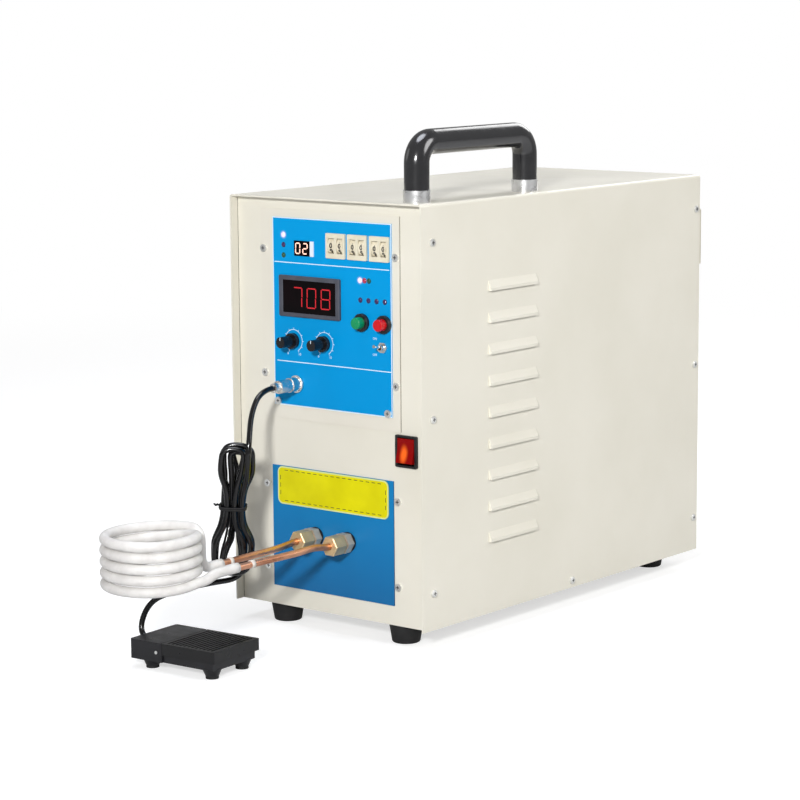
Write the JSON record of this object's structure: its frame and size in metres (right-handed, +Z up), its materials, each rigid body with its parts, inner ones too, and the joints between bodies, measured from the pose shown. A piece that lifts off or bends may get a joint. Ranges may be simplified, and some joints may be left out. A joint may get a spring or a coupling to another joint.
{
  "type": "induction heater",
  "caption": "Portable induction heater: louvred sheet case with control panel, water-cooled work coil in a white sleeve on copper pipes, carrying handle and a pedal on a tied cord.",
  "frame": {"origin": "on the floor under the middle of the whole heater without its cord, X in the middle of the case", "axes": "+Y towards the rear of the case, +X to the right seen from the front, +Z up"},
  "size_m": [0.2386, 0.7465, 0.4802],
  "materials": {
    "case_paint": "satin powder coat",
    "terminal_paint": "satin powder coat",
    "plate_paint": "satin powder coat",
    "overlay_film": "printed film",
    "lower_film": "printed film",
    "label_film": "printed film",
    "black_rubber": "matt",
    "zinc_screw": "zinc plated",
    "grip_black": "satin",
    "bright_chrome": "polished",
    "switch_black": "moulded",
    "switch_red": "moulded",
    "switch_green": "moulded",
    "bezel_grey": "moulded",
    "window_dark": "polished",
    "case_cream": "moulded",
    "wheel_cream": "moulded",
    "led_lens": "clear lens",
    "bushing_metal": "nickel plated",
    "knob_black": "moulded",
    "cord_black": "glossy sheath",
    "pedal_grey": "fine texture",
    "treadle_grey": "ribbed",
    "spring_steel": "plain",
    "fitting_brass": "machined",
    "pipe_copper": "drawn copper tube",
    "sleeve_white": "woven glass fibre sleeving",
    "fan_black": "moulded",
    "guard_wire": "plated wire",
    "sink_aluminium": "extruded",
    "module_dark": "moulded",
    "ferrite_dark": "pressed ferrite",
    "board_green": "solder mask"
  },
  "bodies": {
    "chassis": {"cover": "case_paint", "base_tray": "case_paint", "front_panel": "case_paint", "rear_panel": "case_paint", "control_plate": "plate_paint", "control_overlay": "overlay_film", "lower_plate": "lower_film", "label_plate": "label_film", "rubber_feet": "black_rubber", "cover_screws": "zinc_screw", "panel_screws": "zinc_screw", "handle_grip": "grip_black", "handle_ferrules": "bright_chrome", "rocker_bezel": "switch_black", "display_bezel": "bezel_grey", "display_windows": "window_dark", "thumbwheel_cases": "case_cream", "indicator_leds": "led_lens", "panel_bushings": "bushing_metal", "button_bezels": "switch_black", "panel_socket": "bushing_metal", "cord_plug": "bushing_metal", "cord_upper": "cord_black", "cord_hank": "cord_black", "cord_lower": "cord_black", "cord_tie": "cord_black", "pedal_base": "pedal_grey", "pedal_feet": "black_rubber", "pedal_pin": "bushing_metal", "treadle_spring": "spring_steel", "pedal_switch": "pedal_grey", "cord_bush": "black_rubber", "bulkheads": "fitting_brass", "grommets": "black_rubber", "pipe_nuts": "fitting_brass", "work_coil": "pipe_copper", "coil_sleeve": "sleeve_white", "fan_frame": "fan_black", "fan_guard": "guard_wire", "hose_tails": "fitting_brass", "terminal_cover": "terminal_paint", "heatsink": "sink_aluminium", "power_modules": "module_dark", "capacitor_bank": "module_dark", "transformer": "ferrite_dark", "control_board": "board_green"},
    "rocker_body": {"rocker": "switch_red"},
    "left_knob_body": {"knob_left": "knob_black"},
    "right_knob_body": {"knob_right": "knob_black"},
    "start_body": {"start_button": "switch_green"},
    "stop_body": {"stop_button": "switch_red"},
    "toggle_body": {"toggle_lever": "bushing_metal"},
    "treadle_body": {"treadle": "treadle_grey"},
    "rotor_body": {"fan_rotor": "fan_black"},
    "wheel_1_body": {"number_wheel_1": "wheel_cream"},
    "wheel_2_body": {"number_wheel_2": "wheel_cream"},
    "wheel_3_body": {"number_wheel_3": "wheel_cream"},
    "wheel_4_body": {"number_wheel_4": "wheel_cream"},
    "wheel_5_body": {"number_wheel_5": "wheel_cream"},
    "wheel_6_body": {"number_wheel_6": "wheel_cream"}
  },
  "joints": [
    {"name": "rocker_tilt", "type": "hinge", "parent": "chassis", "child": "rocker_body", "pos_m": [0.09155, -0.11025, 0.1855], "axis": [1, 0, 0], "range_deg": [0, 16]},
    {"name": "wheel_1_turn", "type": "hinge", "parent": "chassis", "child": "wheel_1_body", "pos_m": [0.0048, -0.10735, 0.3707], "axis": [1, 0, 0], "continuous": true},
    {"name": "wheel_2_turn", "type": "hinge", "parent": "chassis", "child": "wheel_2_body", "pos_m": [0.0152, -0.10735, 0.3707], "axis": [1, 0, 0], "continuous": true},
    {"name": "wheel_3_turn", "type": "hinge", "parent": "chassis", "child": "wheel_3_body", "pos_m": [0.0309, -0.10735, 0.3707], "axis": [1, 0, 0], "continuous": true},
    {"name": "wheel_4_turn", "type": "hinge", "parent": "chassis", "child": "wheel_4_body", "pos_m": [0.0413, -0.10735, 0.3707], "axis": [1, 0, 0], "continuous": true},
    {"name": "wheel_5_turn", "type": "hinge", "parent": "chassis", "child": "wheel_5_body", "pos_m": [0.0571, -0.10735, 0.3707], "axis": [1, 0, 0], "continuous": true},
    {"name": "wheel_6_turn", "type": "hinge", "parent": "chassis", "child": "wheel_6_body", "pos_m": [0.0675, -0.10735, 0.3707], "axis": [1, 0, 0], "continuous": true},
    {"name": "left_knob_turn", "type": "hinge", "parent": "chassis", "child": "left_knob_body", "pos_m": [-0.044, -0.12225, 0.278], "axis": [0, -1, 0], "range_deg": [-150, 150]},
    {"name": "right_knob_turn", "type": "hinge", "parent": "chassis", "child": "right_knob_body", "pos_m": [-0.0059, -0.12225, 0.278], "axis": [0, -1, 0], "range_deg": [-150, 150]},
    {"name": "start_press", "type": "slide", "parent": "chassis", "child": "start_body", "axis": [0, 1, 0], "range_m": [0, 0.003], "stiffness_N_per_m": 400, "springref_m": -0.001},
    {"name": "stop_press", "type": "slide", "parent": "chassis", "child": "stop_body", "axis": [0, 1, 0], "range_m": [0, 0.003], "stiffness_N_per_m": 400, "springref_m": -0.001},
    {"name": "toggle_throw", "type": "hinge", "parent": "chassis", "child": "toggle_body", "pos_m": [0.0654, -0.11625, 0.28], "axis": [1, 0, 0], "range_deg": [0, 24]},
    {"name": "treadle_press", "type": "hinge", "parent": "chassis", "child": "treadle_body", "pos_m": [-0.03757, -0.28465, 0.0175], "axis": [-0.0558, 0.9984, 0], "range_deg": [0, 3.5], "stiffness_Nm_per_rad": 6, "springref_deg": -2.86, "deforming": ["treadle_spring"]},
    {"name": "fan_spin", "type": "hinge", "parent": "chassis", "child": "rotor_body", "pos_m": [-0.032, 0.32825, 0.254], "axis": [0, 1, 0], "continuous": true}
  ]
}
